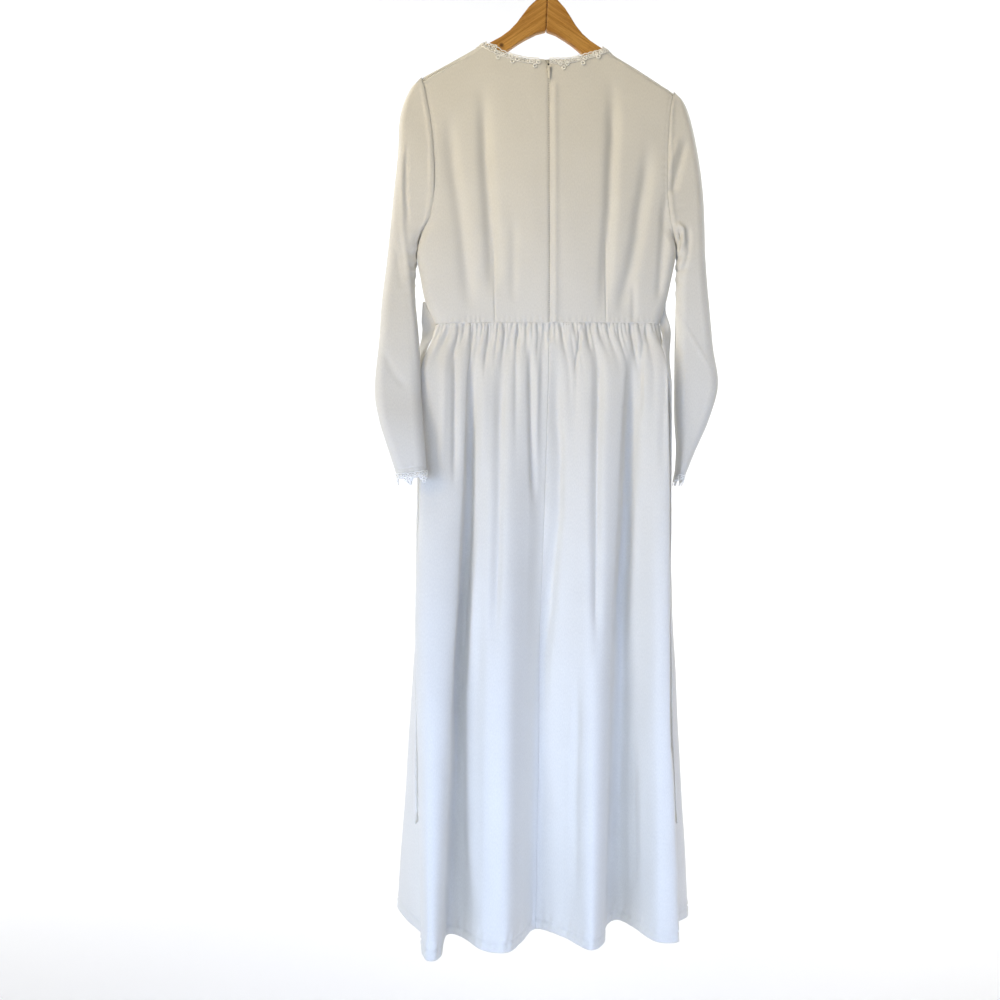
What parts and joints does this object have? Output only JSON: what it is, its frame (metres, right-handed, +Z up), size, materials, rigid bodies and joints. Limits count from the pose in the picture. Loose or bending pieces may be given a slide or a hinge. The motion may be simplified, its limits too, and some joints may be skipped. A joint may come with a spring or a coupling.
{
  "type": "lace-trimmed maxi dress on a wooden clothes hanger",
  "caption": "Long-sleeved maxi dress with a gathered skirt, lace edging at neck and cuffs, a back zip and side ties, hung on a wooden hanger.",
  "frame": {"origin": "inside top of the hanger's hook, where a rod carries it", "axes": "+Z up, the dress's back with the zip faces -Y, and +X is the wearer's right seen on the picture's right"},
  "size_m": [0.5458, 0.2509, 1.5407],
  "materials": {
    "crepe": "smooth ivory crepe with a soft satin sheen",
    "lace": "matt cream guipure lace",
    "hanger_wood": "satin varnish on straight grain",
    "hook_steel": "polished round wire",
    "zip_tape": "woven tape",
    "zip_enamel": "cream enamel"
  },
  "bodies": {
    "dress_on_hanger": {"bodice_back_left": "crepe", "bodice_back_right": "crepe", "bodice_front": "crepe", "skirt_back_left": "crepe", "skirt_back_right": "crepe", "skirt_front": "crepe", "sleeve_left": "crepe", "sleeve_right": "crepe", "tie_left": "crepe", "tie_right": "crepe", "neck_lace_back_left": "lace", "neck_lace_back_right": "lace", "neck_lace_front": "lace", "cuff_lace_left": "lace", "cuff_lace_right": "lace", "hanger_arm_left": "hanger_wood", "hanger_arm_right": "hanger_wood", "hook": "hook_steel", "zip_tape": "zip_tape", "zip_slider": "zip_enamel"},
    "pull_tab": {"zip_pull_tab": "zip_enamel"}
  },
  "joints": [
    {"name": "pull_tab_swing", "type": "hinge", "parent": "dress_on_hanger", "child": "pull_tab", "pos_m": [-0.0012, -0.01785, -0.171], "axis": [-1, 0, 0], "range_deg": [0, 150]}
  ]
}
